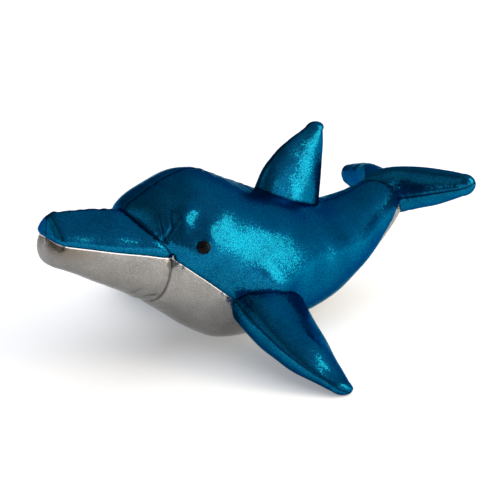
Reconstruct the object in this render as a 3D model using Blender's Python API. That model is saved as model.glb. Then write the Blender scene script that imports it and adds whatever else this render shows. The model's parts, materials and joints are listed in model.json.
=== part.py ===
"""Plush dolphin in metallic foil cloth, lying on its belly with its head and tail raised.

The beak and the body are sewn from flat panels and filled with stuffing. The dorsal fin, the two
pectoral fins and the fluke are filled on their own and sewn on. The eyes are domes on a stem, each
held by a washer on the inside of the cloth.

Metres, +Z up. The nose points to -X and the animal's left side to -Y. The origin is on the ground,
on the flat spot that the belly rests on.
"""

import math
from collections import namedtuple

import bmesh
import bpy
import numpy as np
from mathutils import Matrix, Vector
from mathutils.bvhtree import BVHTree

# Cloth, stuffing and the room between pieces
CLOTH = 0.0010
STUFFING_ROOM = 0.0005
SEAM_ROOM = 0.0003
SEAT_ROOM = 0.0003

# Eyes: a dome with a stem through the cloth, and a washer on the stem
EYE_X = -0.0770
EYE_Z = 0.1230
EYE_RADIUS = 0.0063
EYE_DOME = 0.0042
STEM_RADIUS = 0.0020
STEM_LENGTH = 0.0075
WASHER_RADIUS = 0.0065
WASHER_THICKNESS = 0.0012
WASHER_ROOM = 0.0004
BORE_ROOM = 0.0003
EYE_SIDES = 16
DOME_STEPS = 5

# Rows of panels between two stations of a form, and columns round it
BEAK_ROWS = 4
BODY_ROWS = 3
FIN_ROWS = 2
BACK_COLUMNS = 8
BELLY_COLUMNS = 4
FIN_COLUMNS = 8

# Where the rows that round off the nose and the fin tips lie, from 0 to 1 on the way
NOSE_SHARES = (0.03, 0.40, 0.75)
TIP_SHARES = (0.50, 0.85, 0.99)

# Faces that meet at more than this angle are shaded with an edge between them
SHARP = math.radians(50)

# A slice of the body. Ridge and keel are (x, z) on the middle plane, wide is (x, half width, z).
# The seam between back and belly lies seam degrees below the widest line. Peak says how far the
# ridge stands up to an edge, from 0 for round to 1 for a tent, and under is the power of the
# underside's curve: 1 is an ellipse, less is fuller.
Slice = namedtuple("Slice", "ridge wide keel seam peak under")

NOSE = (-0.204, 0.141)
BEAK = (
    Slice((-0.199, 0.1645), (-0.200, 0.025, 0.140), (-0.205, 0.117), seam=0, peak=0.60, under=0.75),
    Slice((-0.162, 0.160), (-0.160, 0.034, 0.129), (-0.163, 0.0925), seam=0, peak=0.45, under=0.80),
    Slice((-0.124, 0.1525), (-0.102, 0.050, 0.115), (-0.108, 0.0605), seam=0, peak=0.25, under=0.85),
)
BODY = (
    BEAK[-1],
    Slice((-0.105, 0.1635), (-0.084, 0.062, 0.110), (-0.080, 0.036), seam=8, peak=0.05, under=0.90),
    Slice((-0.056, 0.179), (-0.050, 0.074, 0.096), (-0.045, 0.009), seam=20, peak=0.05, under=1.0),
    Slice((-0.012, 0.165), (-0.010, 0.079, 0.081), (-0.010, -0.002), seam=33, peak=0.05, under=1.2),
    Slice((0.033, 0.144), (0.030, 0.079, 0.074), (0.030, -0.002), seam=50, peak=0.05, under=1.2),
    Slice((0.075, 0.129), (0.070, 0.071, 0.072), (0.072, 0.006), seam=62, peak=0.05, under=1.0),
    Slice((0.112, 0.1155), (0.110, 0.060, 0.072), (0.112, 0.018), seam=62, peak=0.05, under=1.0),
    Slice((0.150, 0.1175), (0.155, 0.043, 0.083), (0.160, 0.043), seam=45, peak=0.10, under=1.0),
    Slice((0.189, 0.126), (0.204, 0.028, 0.106), (0.216, 0.084), seam=12, peak=0.10, under=1.0),
)

# The tail is rolled a little, with its left side up
ROLL = math.radians(10)
ROLL_START = 0.100
ROLL_END = 0.200
ROLL_HEIGHT = 0.103

# A slice of a fin: lead and trail are its two edge seams in the fin's own flat outline, (along the
# chord, along the span), and over and under are its depth on the two sides of that outline
FinSlice = namedtuple("FinSlice", "lead trail over under")

# Dorsal fin: chord along +X, span up, measured from the world's origin
DORSAL = (
    FinSlice(lead=(0.028, 0.127), trail=(0.106, 0.100), over=0.017, under=0.017),
    FinSlice(lead=(0.039, 0.157), trail=(0.111, 0.140), over=0.0145, under=0.0145),
    FinSlice(lead=(0.065, 0.181), trail=(0.113, 0.171), over=0.010, under=0.010),
    FinSlice(lead=(0.093, 0.195), trail=(0.113, 0.190), over=0.0055, under=0.0055),
)
DORSAL_TIP = (0.109, 0.199)

# Pectoral fin: chord backwards and span outwards from the middle of its root
PECTORAL_ROOT = (0.002, 0.062, 0.048)
PECTORAL_END = (-0.008, 0.187, 0.005)
PECTORAL_NOSE_UP = math.radians(22)
PECTORAL = (
    FinSlice(lead=(-0.046, -0.012), trail=(0.040, -0.012), over=0.022, under=0.027),
    FinSlice(lead=(-0.050, 0.030), trail=(0.033, 0.035), over=0.019, under=0.028),
    FinSlice(lead=(-0.038, 0.085), trail=(0.021, 0.085), over=0.012, under=0.019),
    FinSlice(lead=(-0.014, 0.122), trail=(0.012, 0.122), over=0.006, under=0.009),
)
PECTORAL_TIP = (0.002, 0.132)

# Fluke: chord backwards and span sideways from the middle of the tail's end
FLUKE_MIDDLE = (0.200, 0.103)
FLUKE_PITCH = math.radians(20)
FLUKE = (
    FinSlice(lead=(-0.032, 0.000), trail=(0.027, 0.000), over=0.031, under=0.023),
    FinSlice(lead=(-0.005, 0.024), trail=(0.033, 0.026), over=0.028, under=0.022),
    FinSlice(lead=(0.010, 0.055), trail=(0.044, 0.058), over=0.020, under=0.020),
    FinSlice(lead=(0.024, 0.087), trail=(0.046, 0.089), over=0.012, under=0.012),
)
FLUKE_TIP = (0.038, 0.101)

# How quickly a fin's face falls away to its edge seam: 0 leaves it an ellipse
EDGE_PINCH = 0.25

BLUE_CLOTH = ("blue_foil", (0.010, 0.085, 0.200), 0.30, 0.80)
SILVER_CLOTH = ("silver_foil", (0.560, 0.560, 0.560), 0.35, 0.90)
WHITE_FILL = ("white_stuffing", (0.800, 0.800, 0.780), 0.90, 0.00)
BLACK_GLOSS = ("black_gloss", (0.008, 0.008, 0.008), 0.10, 0.00)
CLEAR_WASHER = ("washer_plastic", (0.600, 0.600, 0.580), 0.40, 0.00)


def clear_scene():
    """Remove whatever the scene holds."""
    for obj in list(bpy.data.objects):
        bpy.data.objects.remove(obj, do_unlink=True)


def material(finish):
    """The Principled material of a finish, made once."""
    name, colour, roughness, metallic = finish
    made = bpy.data.materials.get(name)
    if made:
        return made
    made = bpy.data.materials.new(name)
    made.use_nodes = True
    shader = made.node_tree.nodes["Principled BSDF"]
    shader.inputs["Base Color"].default_value = (*colour, 1.0)
    shader.inputs["Roughness"].default_value = roughness
    shader.inputs["Metallic"].default_value = metallic
    made.diffuse_color = (*colour, 1.0)
    return made


def finished(name, bm, finish):
    """Turn a bmesh into a smooth-shaded object."""
    bmesh.ops.recalc_face_normals(bm, faces=bm.faces)
    mesh = bpy.data.meshes.new(name)
    bm.to_mesh(mesh)
    bm.free()
    mesh.shade_smooth()
    mesh.set_sharp_from_angle(angle=SHARP)
    mesh.materials.append(material(finish))
    obj = bpy.data.objects.new(name, mesh)
    bpy.context.scene.collection.objects.link(obj)
    return obj


def cutter(name, bm):
    """Turn a bmesh into a hidden shape that only cuts."""
    obj = finished(name, bm, WHITE_FILL)
    obj.hide_render = True
    obj.display_type = "WIRE"
    return obj


def cut(obj, tool):
    """Take the tool's space away from the object."""
    modifier = obj.modifiers.new(f"cut_{tool.name}", "BOOLEAN")
    modifier.operation = "DIFFERENCE"
    modifier.object = tool


def through(values, rows):
    """A smooth curve through the values, with this many rows between each two."""
    points = np.array(values, float)
    before = 2 * points[0] - points[1]
    after = 2 * points[-1] - points[-2]
    points = np.vstack([before, points, after])
    made = []
    for i in range(1, len(points) - 2):
        a, b, c, d = points[i - 1 : i + 3]
        for step in range(rows):
            t = step / rows
            made.append(
                0.5
                * (
                    2 * b
                    + (c - a) * t
                    + (2 * a - 5 * b + 4 * c - d) * t**2
                    + (3 * b - a - 3 * c + d) * t**3
                )
            )
    made.append(points[-2])
    return np.array(made)


def slices_between(slices, rows):
    """Slices on the smooth curves through the given ones."""
    flat = [(*s.ridge, *s.wide, *s.keel, s.seam, s.peak, s.under) for s in slices]
    return [Slice(v[0:2], v[2:5], v[5:7], *v[7:]) for v in through(flat, rows)]


def girth(cut_at):
    """The points round one slice: ridge, left side, keel, right side."""
    seam = math.radians(90 + cut_at.seam)
    turns = [seam * i / BACK_COLUMNS for i in range(BACK_COLUMNS)]
    turns += [seam + (math.pi - seam) * i / BELLY_COLUMNS for i in range(BELLY_COLUMNS + 1)]
    wide_x, half_width, wide_z = cut_at.wide
    left = []
    for turn in turns:
        side, rise = math.sin(turn), abs(math.cos(turn))
        if turn <= math.pi / 2:
            end_x, end_z = cut_at.ridge
            rise = (1 - cut_at.peak) * rise + cut_at.peak * (1 - side)
        else:
            end_x, end_z = cut_at.keel
            side, rise = max(side, 0.0) ** cut_at.under, rise**cut_at.under
        x = wide_x + (end_x - wide_x) * rise
        z = wide_z + (end_z - wide_z) * rise
        left.append((x, -half_width * side, z))
    right = [(x, -y, z) for x, y, z in left[-2:0:-1]]
    return left + right


def rolled(points):
    """Roll the tail about its length, left side up."""
    share = np.clip((points[..., 0] - ROLL_START) / (ROLL_END - ROLL_START), 0, 1)
    turn = -ROLL * share**2 * (3 - 2 * share)
    y = points[..., 1]
    z = points[..., 2] - ROLL_HEIGHT
    out = points.copy()
    out[..., 1] = y * np.cos(turn) - z * np.sin(turn)
    out[..., 2] = y * np.sin(turn) + z * np.cos(turn) + ROLL_HEIGHT
    return out


# A sewn form as rows of points round it; an open end has another piece sewn on there
Form = namedtuple("Form", "rows open_end")


def body_form():
    """The whole sewn form from the nose to the end of the tail, and the rows of two seams."""
    beak = [girth(s) for s in slices_between(BEAK, BEAK_ROWS)]
    body = [girth(s) for s in slices_between(BODY, BODY_ROWS)]
    rim = np.array(beak[0])
    nose = np.array((NOSE[0], 0.0, NOSE[1]))
    front = []
    for share in NOSE_SHARES:
        row = nose + (rim - nose) * share
        row[:, 0] = nose[0] + (rim[:, 0] - nose[0]) * share**2
        front.append(row)
    rows = np.array(front + beak + body[1:])
    return Form(rolled(rows), True), len(front) + len(beak) - 1


def normals_of(rows):
    """Outward unit normals of a form whose rows are closed loops."""
    along = np.gradient(rows, axis=0)
    around = np.roll(rows, -1, axis=1) - np.roll(rows, 1, axis=1)
    normals = np.cross(along, around)
    normals /= np.linalg.norm(normals, axis=2, keepdims=True)
    middle = rows.mean(axis=1, keepdims=True)
    inner = (len(rows) // 4, 3 * len(rows) // 4)
    facing = (normals * (rows - middle))[inner[0] : inner[1]].sum()
    return normals if facing > 0 else -normals


def at_depth(form, depth):
    """The form's rows drawn in by this depth, and kept as far above the ground."""
    inner = form.rows - normals_of(form.rows) * depth
    if form.open_end:
        inner[-1] -= unit(form.rows[-1] - form.rows[-2]) * depth
    inner[..., 2] = np.maximum(inner[..., 2], depth)
    return inner


def pulled_in(grid, sides):
    """Draw the edges of a panel back from their seams."""
    out = grid.copy()
    if "first" in sides:
        out[0] += unit(grid[1] - grid[0]) * SEAM_ROOM / 2
    if "last" in sides:
        out[-1] += unit(grid[-2] - grid[-1]) * SEAM_ROOM / 2
    columns = out.copy()
    columns[:, 0] += unit(out[:, 1] - out[:, 0]) * SEAM_ROOM / 2
    columns[:, -1] += unit(out[:, -2] - out[:, -1]) * SEAM_ROOM / 2
    return columns


def unit(vectors):
    return vectors / np.linalg.norm(vectors, axis=-1, keepdims=True)


def grid_mesh(grid):
    """A bmesh grid laid on the points, with each vertex's place kept in its spot layer."""
    rows, columns = grid.shape[:2]
    bm = bmesh.new()
    bmesh.ops.create_grid(bm, x_segments=columns - 1, y_segments=rows - 1, size=1.0)
    spot = bm.verts.layers.int.new("spot")
    flat = grid.reshape(-1, 3)
    for vert in bm.verts:
        column = round((vert.co.x + 1) / 2 * (columns - 1))
        row = round((vert.co.y + 1) / 2 * (rows - 1))
        vert[spot] = row * columns + column
    for vert in bm.verts:
        vert.co = flat[vert[spot]]
    return bm, spot


def panel(name, form, columns, span, finish, sides=("first", "last")):
    """A cloth panel on part of a form, as a thin closed solid."""
    pick = np.arange(columns[0], columns[1] + 1) % form.rows.shape[1]
    outer = pulled_in(at_depth(form, 0.0)[span[0] : span[1] + 1][:, pick], sides)
    inner = pulled_in(at_depth(form, CLOTH)[span[0] : span[1] + 1][:, pick], sides)
    bm, spot = grid_mesh(outer)
    grown = bmesh.ops.extrude_face_region(bm, geom=bm.faces[:], use_keep_orig=True)
    flat = inner.reshape(-1, 3)
    for element in grown["geom"]:
        if isinstance(element, bmesh.types.BMVert):
            element.co = flat[element[spot]]
    bmesh.ops.triangulate(bm, faces=bm.faces[:], quad_method="SHORT_EDGE")
    return finished(name, bm, finish)


def filled(form, depth):
    """A form drawn in by this depth, as a closed bmesh."""
    inner = at_depth(form, depth)
    bm, _ = grid_mesh(np.concatenate([inner, inner[:, :1]], axis=1))
    bmesh.ops.remove_doubles(bm, verts=bm.verts[:], dist=1e-7)
    bmesh.ops.holes_fill(bm, edges=[e for e in bm.edges if e.is_boundary], sides=0)
    bmesh.ops.triangulate(bm, faces=bm.faces[:], quad_method="SHORT_EDGE")
    return bm


def fin_slices(slices, rows):
    """Fin slices on the smooth curves through the given ones."""
    flat = [(*s.lead, *s.trail, s.over, s.under) for s in slices]
    return [FinSlice(v[0:2], v[2:4], *v[4:]) for v in through(flat, rows)]


def fin_ring(cut_at):
    """The points round one slice of a fin, in chord, thickness and span."""
    lead = np.array((cut_at.lead[0], 0.0, cut_at.lead[1]))
    trail = np.array((cut_at.trail[0], 0.0, cut_at.trail[1]))
    ring = []
    for i in range(2 * FIN_COLUMNS):
        turn = math.pi * i / FIN_COLUMNS
        across = (1 - math.cos(turn)) / 2
        bulge = math.sin(turn) * (1 - EDGE_PINCH + EDGE_PINCH * abs(math.sin(turn)))
        point = lead + (trail - lead) * across
        point[1] = -bulge * (cut_at.over if i < FIN_COLUMNS else cut_at.under)
        ring.append(point)
    return ring


def tip_rings(last, tip):
    """Rings that close a fin from its last slice to its tip."""
    end = np.array((tip[0], 0.0, tip[1]))
    ring = np.array(fin_ring(last))
    middle = ring.mean(axis=0)
    made = []
    for share in TIP_SHARES:
        shrink = math.sqrt(1 - share**2)
        made.append(middle + (end - middle) * share + (ring - middle) * shrink)
    return made


def one_sided_fin(slices, tip):
    """Rows of a fin from its root, which lies inside the body, to its tip."""
    made = fin_slices(slices, FIN_ROWS)
    return np.array([fin_ring(s) for s in made] + tip_rings(made[-1], tip))


def two_sided_fin(slices, tip):
    """Rows of a fin that runs from one tip through the middle to the other."""
    half = one_sided_fin(slices, tip)
    other = half.copy()
    other[..., 2] *= -1
    return np.concatenate([other[:0:-1], half])


def placed(rows, origin, chord, thickness, span):
    """Fin points carried from the fin's own axes to the world."""
    axes = np.array((chord, thickness, span))
    return np.array(origin) + rows @ axes


def pectoral_form(side):
    """The pectoral fin of one side: -1 is left, +1 right."""
    root = np.array(PECTORAL_ROOT)
    end = np.array(PECTORAL_END)
    span = unit(end - root)
    chord = np.array((math.cos(PECTORAL_NOSE_UP), 0.0, -math.sin(PECTORAL_NOSE_UP)))
    chord = unit(chord - span * (chord @ span))
    up = np.cross(chord, span)
    rows = placed(one_sided_fin(PECTORAL, PECTORAL_TIP), root, chord, -up, span)
    rows[..., 1] *= side
    return Form(rows, False)


def fluke_form():
    """The fluke, from its right tip to its left."""
    chord = (math.cos(FLUKE_PITCH), 0.0, math.sin(FLUKE_PITCH))
    up = np.array((-math.sin(FLUKE_PITCH), 0.0, math.cos(FLUKE_PITCH)))
    origin = (FLUKE_MIDDLE[0], 0.0, FLUKE_MIDDLE[1])
    rows = placed(two_sided_fin(FLUKE, FLUKE_TIP), origin, chord, -up, (0.0, 1.0, 0.0))
    return Form(rolled(rows), False)


def dorsal_form():
    """The dorsal fin, whose own axes are the world's."""
    return Form(one_sided_fin(DORSAL, DORSAL_TIP), False)


def sewn_fin(name, first, second, form, seat):
    """A fin's two panels and its stuffing, all seated on the body."""
    turn = 2 * FIN_COLUMNS
    span = (0, len(form.rows) - 1)
    pieces = (
        panel(f"{name}_{first}", form, (0, FIN_COLUMNS), span, BLUE_CLOTH, ()),
        panel(f"{name}_{second}", form, (FIN_COLUMNS, turn), span, BLUE_CLOTH, ()),
        finished(f"{name}_stuffing", filled(form, CLOTH + STUFFING_ROOM), WHITE_FILL),
    )
    for piece in pieces:
        cut(piece, seat)


def turned(name, profile, finish, place):
    """A closed profile of (radius, height) points turned about its axis."""
    bm = bmesh.new()
    verts = [bm.verts.new((radius, 0.0, height)) for radius, height in profile]
    edges = [bm.edges.new(pair) for pair in zip(verts, verts[1:])]
    if profile[0][0] > 0:
        edges.append(bm.edges.new((verts[-1], verts[0])))
    bmesh.ops.spin(
        bm, geom=verts + edges, cent=(0, 0, 0), axis=(0, 0, 1),
        angle=math.tau, steps=EYE_SIDES, use_merge=True,
    )
    bmesh.ops.remove_doubles(bm, verts=bm.verts[:], dist=1e-6)
    bmesh.ops.transform(bm, matrix=place, verts=bm.verts[:])
    return finished(name, bm, finish)


def rod(name, radius, low, high, place):
    """A round cutter along the axis."""
    bm = bmesh.new()
    bmesh.ops.create_cone(
        bm, cap_ends=True, segments=EYE_SIDES, radius1=radius, radius2=radius, depth=high - low,
        matrix=place @ Matrix.Translation((0, 0, (low + high) / 2)),
    )
    return cutter(name, bm)


def circle(radius, height):
    """Points on a circle about the Z axis."""
    turns = [math.tau * i / EYE_SIDES for i in range(EYE_SIDES)]
    return [Vector((radius * math.cos(t), radius * math.sin(t), height)) for t in turns]


def eye_place(outside, side):
    """The frame on the cloth where an eye sits, its Z axis pointing out of the cloth."""
    spot, normal, _, _ = outside.ray_cast(Vector((EYE_X, side, EYE_Z)), Vector((0, -side, 0)))
    facing = normal.to_track_quat("Z", "Y")
    around = [spot + facing @ p for p in circle(EYE_RADIUS, EYE_RADIUS)]
    normal = sum((outside.ray_cast(p, -normal)[1] for p in around), normal).normalized()
    return Matrix.Translation(spot) @ normal.to_track_quat("Z", "Y").to_matrix().to_4x4()


def falls_away(outside, place, radius):
    """How far the cloth lies below the frame's plane at this radius."""
    down = -place.col[2].to_3d()
    around = [place @ p for p in circle(radius, radius)]
    back = place.inverted()
    return -min((back @ outside.ray_cast(p, down)[0]).z for p in around)


def eye(word, side, outside, side_panel, stuffing):
    """A safety eye, its washer, and the holes that they need."""
    place = eye_place(outside, side)
    dome = []
    for i in range(DOME_STEPS + 1):
        turn = math.pi / 2 * i / DOME_STEPS
        dome.append((EYE_RADIUS * math.sin(turn), SEAT_ROOM + EYE_DOME * math.cos(turn)))
    stem = [(STEM_RADIUS, SEAT_ROOM), (STEM_RADIUS, -STEM_LENGTH), (0.0, -STEM_LENGTH)]
    turned(f"eye_{word}", dome + stem, BLACK_GLOSS, place)
    pocket = WASHER_RADIUS + WASHER_ROOM
    top = -(falls_away(outside, place, pocket) + CLOTH + WASHER_ROOM)
    inner = STEM_RADIUS + BORE_ROOM
    ring = [
        (inner, top), (WASHER_RADIUS, top),
        (WASHER_RADIUS, top - WASHER_THICKNESS), (inner, top - WASHER_THICKNESS),
    ]
    turned(f"eye_washer_{word}", ring, CLEAR_WASHER, place)
    cut(side_panel, rod(f"stem_hole_{word}", inner, -2 * CLOTH, 2 * CLOTH, place))
    cut(stuffing, rod(f"washer_pocket_{word}", pocket, -STEM_LENGTH - WASHER_ROOM, CLOTH, place))


def build():
    clear_scene()
    body, face = body_form()
    last, turn = len(body.rows) - 1, body.rows.shape[1]
    seam = BACK_COLUMNS
    far_seam = BACK_COLUMNS + 2 * BELLY_COLUMNS
    panel("beak_top_left", body, (0, seam), (0, face), BLUE_CLOTH, ("last",))
    panel("beak_top_right", body, (far_seam, turn), (0, face), BLUE_CLOTH, ("last",))
    panel("beak_under", body, (seam, far_seam), (0, face), SILVER_CLOTH, ("last",))
    left = panel("side_panel_left", body, (0, seam), (face, last), BLUE_CLOTH)
    right = panel("side_panel_right", body, (far_seam, turn), (face, last), BLUE_CLOTH)
    panel("belly_panel", body, (seam, far_seam), (face, last), SILVER_CLOTH)
    stuffing = finished("body_stuffing", filled(body, CLOTH + STUFFING_ROOM), WHITE_FILL)

    seat = cutter("body_seat", filled(body, -SEAT_ROOM))
    sewn_fin("dorsal_fin", "left", "right", dorsal_form(), seat)
    sewn_fin("pectoral_left", "upper", "lower", pectoral_form(-1), seat)
    sewn_fin("pectoral_right", "upper", "lower", pectoral_form(1), seat)
    sewn_fin("fluke", "upper", "lower", fluke_form(), seat)

    outside = BVHTree.FromBMesh(filled(body, 0.0))
    eye("left", -1, outside, left, stuffing)
    eye("right", 1, outside, right, stuffing)


build()
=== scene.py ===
# %% [markdown]
# # A plush dolphin in foil cloth
#
# The toy is a stuffed dolphin, sewn from thin cloth with a metal coating: blue above, silver
# below. The solid model of it is the frame that everything here sits on. It has the right size
# and the right places, but its cloth is stiff and faceted. This lesson sews the same panels
# again with fine meshes, pulls their seams in, gathers them where thread pulls, and gives
# the cloth its glitter.

# %% Load the frame
import json
import math
from collections import namedtuple

import bmesh
import bpy
import numpy as np
from mathutils import Matrix, Vector
from mathutils.bvhtree import BVHTree

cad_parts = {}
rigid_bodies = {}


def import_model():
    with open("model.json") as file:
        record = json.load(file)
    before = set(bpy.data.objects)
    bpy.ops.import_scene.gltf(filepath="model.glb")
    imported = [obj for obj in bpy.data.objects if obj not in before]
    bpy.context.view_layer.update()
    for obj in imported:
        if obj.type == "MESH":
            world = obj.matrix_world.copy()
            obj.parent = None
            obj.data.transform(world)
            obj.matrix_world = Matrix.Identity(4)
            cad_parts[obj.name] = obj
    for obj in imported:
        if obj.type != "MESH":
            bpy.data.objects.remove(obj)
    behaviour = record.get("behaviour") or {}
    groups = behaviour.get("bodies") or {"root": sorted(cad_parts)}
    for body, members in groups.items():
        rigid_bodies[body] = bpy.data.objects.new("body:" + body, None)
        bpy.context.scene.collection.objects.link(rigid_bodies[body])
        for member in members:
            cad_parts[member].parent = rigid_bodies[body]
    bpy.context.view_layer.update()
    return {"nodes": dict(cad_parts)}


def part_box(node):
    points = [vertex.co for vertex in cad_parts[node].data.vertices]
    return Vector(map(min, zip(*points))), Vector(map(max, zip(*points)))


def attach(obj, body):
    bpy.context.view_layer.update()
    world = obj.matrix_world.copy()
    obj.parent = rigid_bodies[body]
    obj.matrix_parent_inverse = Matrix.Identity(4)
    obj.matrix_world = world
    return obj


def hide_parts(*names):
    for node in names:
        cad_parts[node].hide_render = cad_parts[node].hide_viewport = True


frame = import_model()
print("solid pieces in the frame:", len(frame["nodes"]))

# %% [markdown]
# ## The camera
#
# The picture was taken from the dolphin's left, a little in front of it and a little above.
# A long lens from 1.3 m keeps the beak from looking larger than the tail. The camera is placed
# by an angle round the toy, an angle above the floor and the point that it looks at, because
# those three can be changed one at a time.

# %% Place the camera
AIM = Vector((0.0235, 0.0, 0.080))
AROUND = math.radians(-37)
ABOVE = math.radians(20)
DISTANCE = 1.3
LENS = 93.6
SENSOR = 36.0

towards_camera = Vector((
    math.sin(AROUND) * math.cos(ABOVE),
    -math.cos(AROUND) * math.cos(ABOVE),
    math.sin(ABOVE),
))
camera_data = bpy.data.cameras.new("camera")
camera_data.lens = LENS
camera_data.sensor_width = SENSOR
camera = bpy.data.objects.new("camera", camera_data)
bpy.context.scene.collection.objects.link(camera)
camera.location = AIM + towards_camera * DISTANCE
camera.rotation_euler = towards_camera.to_track_quat("Z", "Y").to_euler()
bpy.context.scene.camera = camera
print("camera at", [round(v, 3) for v in camera.location])

# %% [markdown]
# ## Smooth curves through a few slices
#
# A soft body is easiest to describe by slices: where its ridge is, how wide it is and where, and
# where its keel is. Between the slices the shape has to be smooth, and foil cloth is strict
# about it, because a mirror shows every sudden change of curvature as a broken reflection. A
# natural cubic spline changes its curvature gradually, so each of the numbers runs along one.

# %% Run a smooth curve through values
def smooth_through(values, places):
    """The natural cubic spline through the rows of values, read at places counted in rows."""
    values = np.array(values, float)
    count = len(values)
    pull = np.eye(count)
    bend = np.zeros_like(values)
    for i in range(1, count - 1):
        pull[i, i - 1 : i + 2] = (1, 4, 1)
        bend[i] = 6 * (values[i - 1] - 2 * values[i] + values[i + 1])
    curve = np.linalg.solve(pull, bend)
    low = np.clip(places.astype(int), 0, count - 2)
    t = (places - low)[:, None]
    straight = values[low] * (1 - t) + values[low + 1] * t
    bow = (t**3 - t) * curve[low + 1] + ((1 - t) ** 3 - (1 - t)) * curve[low]
    return straight + bow / 6


def unit(vectors):
    return vectors / np.maximum(np.linalg.norm(vectors, axis=-1, keepdims=True), 1e-12)


# %% [markdown]
# ## The slices of the body
#
# A slice has its ridge and keel on the middle plane, and its widest points on both sides. The
# seam between the blue and the silver cloth lies some degrees below the widest line: none on the
# beak, where it is the mouth line, and more and more towards the belly. The beak has a nearly
# tent-shaped top and a full underside. All of it is in metres, with the nose towards -X.

# %% Write down the slices
Slice = namedtuple("Slice", "ridge wide keel seam peak under")

NOSE = (-0.204, 0.141)
BEAK = (
    Slice((-0.199, 0.1645), (-0.200, 0.025, 0.140), (-0.205, 0.117), seam=0, peak=0.60, under=0.75),
    Slice((-0.162, 0.160), (-0.160, 0.034, 0.129), (-0.163, 0.0925), seam=0, peak=0.45, under=0.80),
    Slice((-0.124, 0.1525), (-0.102, 0.050, 0.115), (-0.108, 0.0605), seam=0, peak=0.25, under=0.85),
)
BODY = (
    BEAK[-1],
    Slice((-0.105, 0.1635), (-0.084, 0.062, 0.110), (-0.080, 0.036), seam=8, peak=0.05, under=0.90),
    Slice((-0.056, 0.179), (-0.050, 0.074, 0.096), (-0.045, 0.009), seam=20, peak=0.05, under=1.0),
    Slice((-0.012, 0.165), (-0.010, 0.079, 0.081), (-0.010, -0.002), seam=33, peak=0.05, under=1.2),
    Slice((0.033, 0.144), (0.030, 0.079, 0.074), (0.030, -0.002), seam=50, peak=0.05, under=1.2),
    Slice((0.075, 0.129), (0.070, 0.071, 0.072), (0.072, 0.006), seam=62, peak=0.05, under=1.0),
    Slice((0.112, 0.1155), (0.110, 0.060, 0.072), (0.112, 0.018), seam=62, peak=0.05, under=1.0),
    Slice((0.150, 0.1175), (0.155, 0.043, 0.083), (0.160, 0.043), seam=45, peak=0.10, under=1.0),
    Slice((0.189, 0.126), (0.204, 0.028, 0.106), (0.216, 0.084), seam=12, peak=0.10, under=1.0),
)
print("slices:", len(BEAK) + len(BODY) - 1)

# %% [markdown]
# ## Lay points round the body
#
# Each slice gives one loop of points: from the ridge down the left side to the keel, and back up
# the right side. The columns fall exactly on the seams, so that a panel can end there. Rows of
# such loops make a net over the whole body, and every later step moves the points of that one
# net. Panels cut from it then always meet at their seams.

# %% Lay the net of the body
BACK_COLUMNS = 58
BELLY_COLUMNS = 38
NOSE_ROWS = 14
BEAK_SPAN_ROWS = 22
BODY_SPAN_ROWS = 40


def girth(values):
    """One closed loop of points from the ten numbers of a slice."""
    ridge_x, ridge_z, wide_x, half_width, wide_z, keel_x, keel_z, seam, peak, under = values
    seam = math.radians(90 + seam)
    turns = np.concatenate([
        np.linspace(0, seam, BACK_COLUMNS, endpoint=False),
        np.linspace(seam, math.pi, BELLY_COLUMNS + 1),
    ])
    side = np.sin(turns)
    rise = np.abs(np.cos(turns))
    above = turns <= math.pi / 2
    rise = np.where(above, (1 - peak) * rise + peak * (1 - side), rise**under)
    side = np.where(above, side, np.maximum(side, 0) ** under)
    end_x = np.where(above, ridge_x, keel_x)
    end_z = np.where(above, ridge_z, keel_z)
    left = np.stack([
        wide_x + (end_x - wide_x) * rise,
        -half_width * side,
        wide_z + (end_z - wide_z) * rise,
    ], axis=1)
    right = left[-2:0:-1] * (1, -1, 1)
    return np.concatenate([left, right])


def net_between(slices, span_rows):
    flat = [(*s.ridge, *s.wide, *s.keel, s.seam, s.peak, s.under) for s in slices]
    places = np.linspace(0, len(slices) - 1, (len(slices) - 1) * span_rows + 1)
    return np.array([girth(v) for v in smooth_through(flat, places)])


beak_net = net_between(BEAK, BEAK_SPAN_ROWS)
body_net = net_between(BODY, BODY_SPAN_ROWS)
nose = np.array((NOSE[0], 0.0, NOSE[1]))
front = []
for share in np.linspace(0.0, 1.0, NOSE_ROWS, endpoint=False):
    row = nose + (beak_net[0] - nose) * share
    row[:, 0] = nose[0] + (beak_net[0][:, 0] - nose[0]) * share**2
    front.append(row)
net = np.concatenate([np.array(front), beak_net, body_net[1:]])
FACE_ROW = NOSE_ROWS + len(beak_net) - 1
LEFT_SEAM = BACK_COLUMNS
KEEL = BACK_COLUMNS + BELLY_COLUMNS
RIGHT_SEAM = BACK_COLUMNS + 2 * BELLY_COLUMNS
print("net of the body:", net.shape[0], "rows of", net.shape[1], "points")

# %% [markdown]
# ## Soften the net, roll the tail, and press the belly flat
#
# The slices are made of two kinds of curve, above and below the widest line, and stuffing
# doesn't keep the edge between them. Averaging each point with its neighbours round the loop a
# few times rounds that edge off. The tail is rolled by ten degrees, left side up, as the
# fluke shows. The toy's weight presses the belly flat on the floor.

# %% Soften, roll and press
ROLL = math.radians(10)
ROLL_START = 0.100
ROLL_END = 0.200
ROLL_HEIGHT = 0.103
BELLY_CLEARANCE = 0.0006
SOFTEN_ROWS = (0, FACE_ROW - 8, FACE_ROW + 50)
SOFTEN_PASSES = (4, 8, 34)
CORNER_ROWS = (3, NOSE_ROWS + 6)
CORNER_PASSES = 10


def softened(rows, passes):
    """Average each point with its two neighbours round the loop, this many times in each row."""
    out = rows.copy()
    for i in range(int(passes.max())):
        mean = (np.roll(out, 1, axis=1) + 2 * out + np.roll(out, -1, axis=1)) / 4
        out = np.where((passes > i)[:, None, None], mean, out)
    return out


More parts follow.
